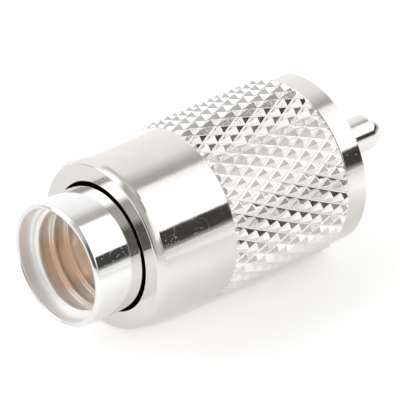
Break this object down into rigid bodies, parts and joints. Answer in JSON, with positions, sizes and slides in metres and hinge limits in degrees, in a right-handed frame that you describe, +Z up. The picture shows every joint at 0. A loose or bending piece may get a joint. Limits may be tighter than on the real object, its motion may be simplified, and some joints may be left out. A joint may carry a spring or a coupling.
{
  "type": "uhf cable connector",
  "caption": "Round coaxial cable plug: a turned tail for the cable, an insulated hollow center pin, and a free-turning knurled nut that screws it onto a threaded socket.",
  "frame": {"origin": "on the connector's axis, in the plane of the plug body's front rim, where it meets a socket", "axes": "+X along the connector's axis, from the tail to the pin; +Z up as it lies on its nut"},
  "size_m": [0.0415, 0.0188, 0.0188],
  "materials": {
    "body_nickel": "polished",
    "nut_nickel": "polished",
    "pin_nickel": "polished",
    "white_plastic": "satin"
  },
  "bodies": {
    "plug": {"plug_body": "body_nickel", "insulator": "white_plastic", "center_pin": "pin_nickel"},
    "nut": {"coupling_nut": "nut_nickel"}
  },
  "joints": [
    {"name": "nut_turn", "type": "hinge", "parent": "plug", "child": "nut", "pos_m": [0, 0, 0], "axis": [1, 0, 0], "continuous": true}
  ]
}
